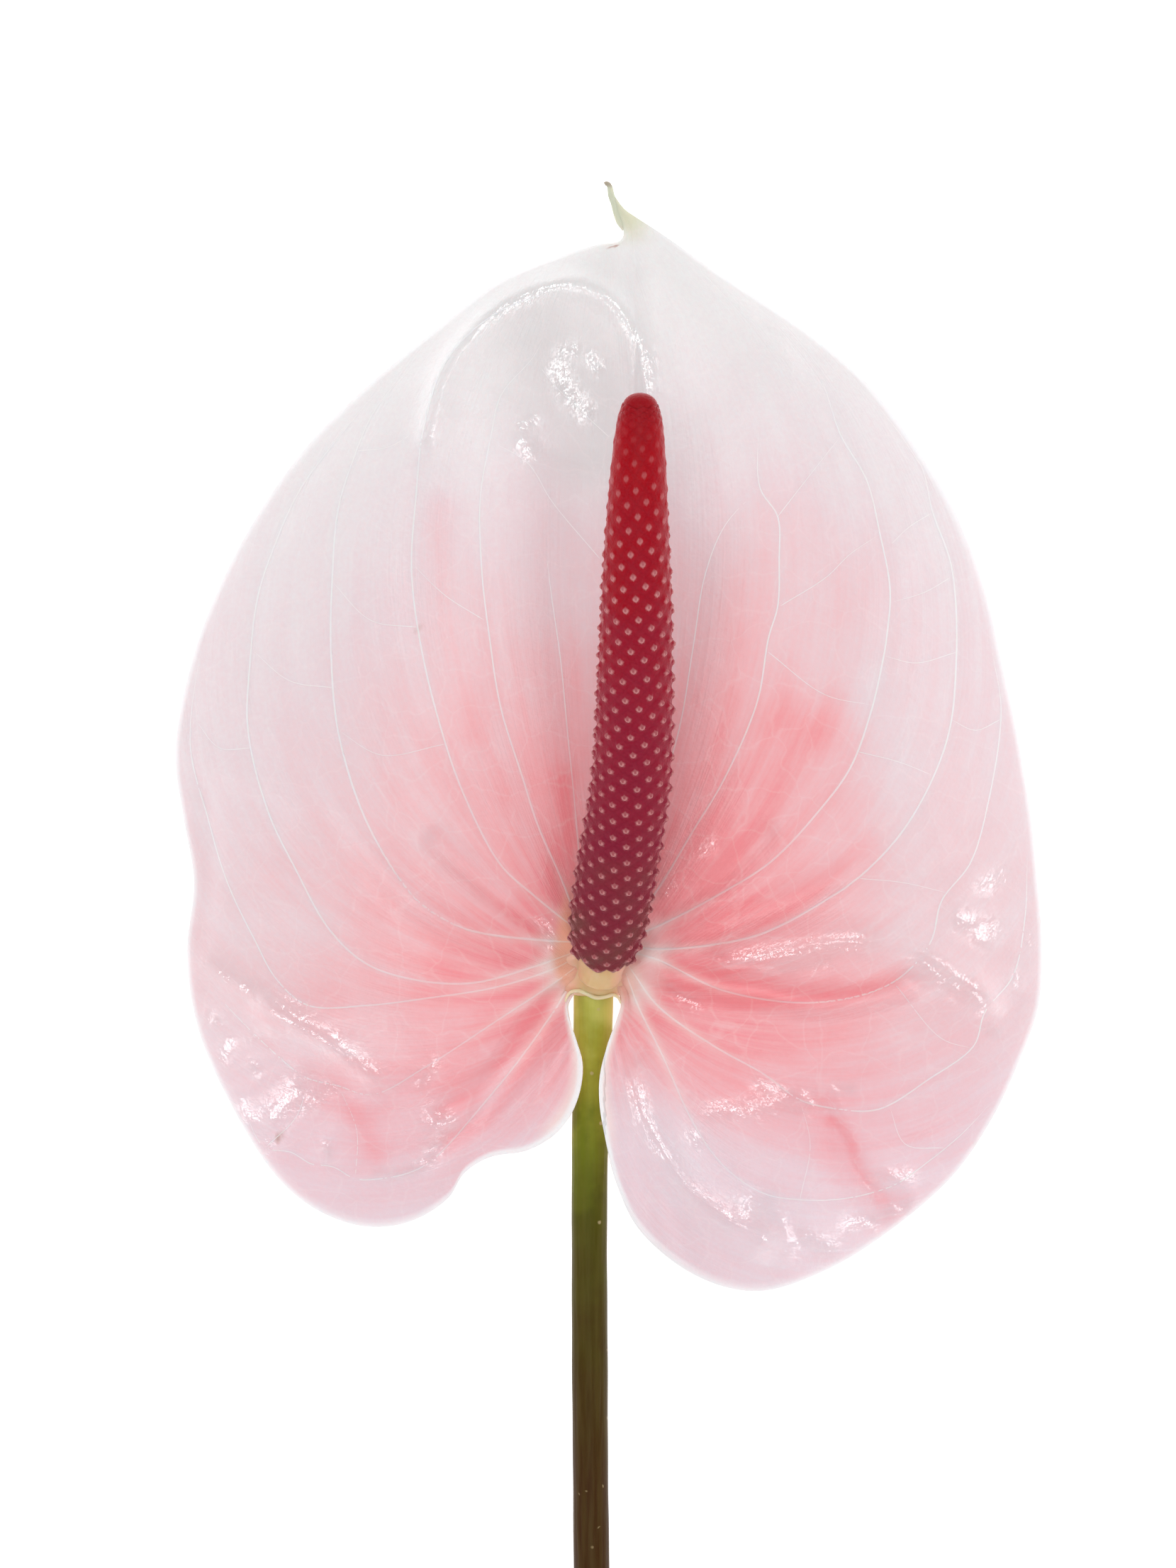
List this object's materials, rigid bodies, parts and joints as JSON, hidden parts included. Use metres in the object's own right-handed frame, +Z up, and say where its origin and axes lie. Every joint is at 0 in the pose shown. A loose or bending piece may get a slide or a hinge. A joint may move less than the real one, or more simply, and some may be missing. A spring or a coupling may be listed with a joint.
{
  "type": "cut anthurium stem",
  "caption": "Cut flower on a long round stem, lying face up: a glossy heart-shaped spathe with rolled margins carries a tapering spadix covered in small florets.",
  "frame": {"origin": "bottom centre of the flower's box, on the surface that it lies on", "axes": "+Y from the cut end of the stem to the tail of the spathe, +Z up from the surface towards the face of the spathe, +X to the right of the spathe as seen from above with the tail pointing away"},
  "size_m": [0.123, 0.4954, 0.0481],
  "materials": {
    "spathe_skin": "waxy, glossy, white flushed with pink from the junction outwards",
    "spadix_florets": "satin crimson, maroon at the foot, with a pale stigma on each floret",
    "stem_skin": "smooth satin, yellow-green at the top, olive and then brown lower down"
  },
  "bodies": {
    "root": {"spathe": "spathe_skin", "spadix": "spadix_florets", "stem": "stem_skin"}
  },
  "joints": []
}
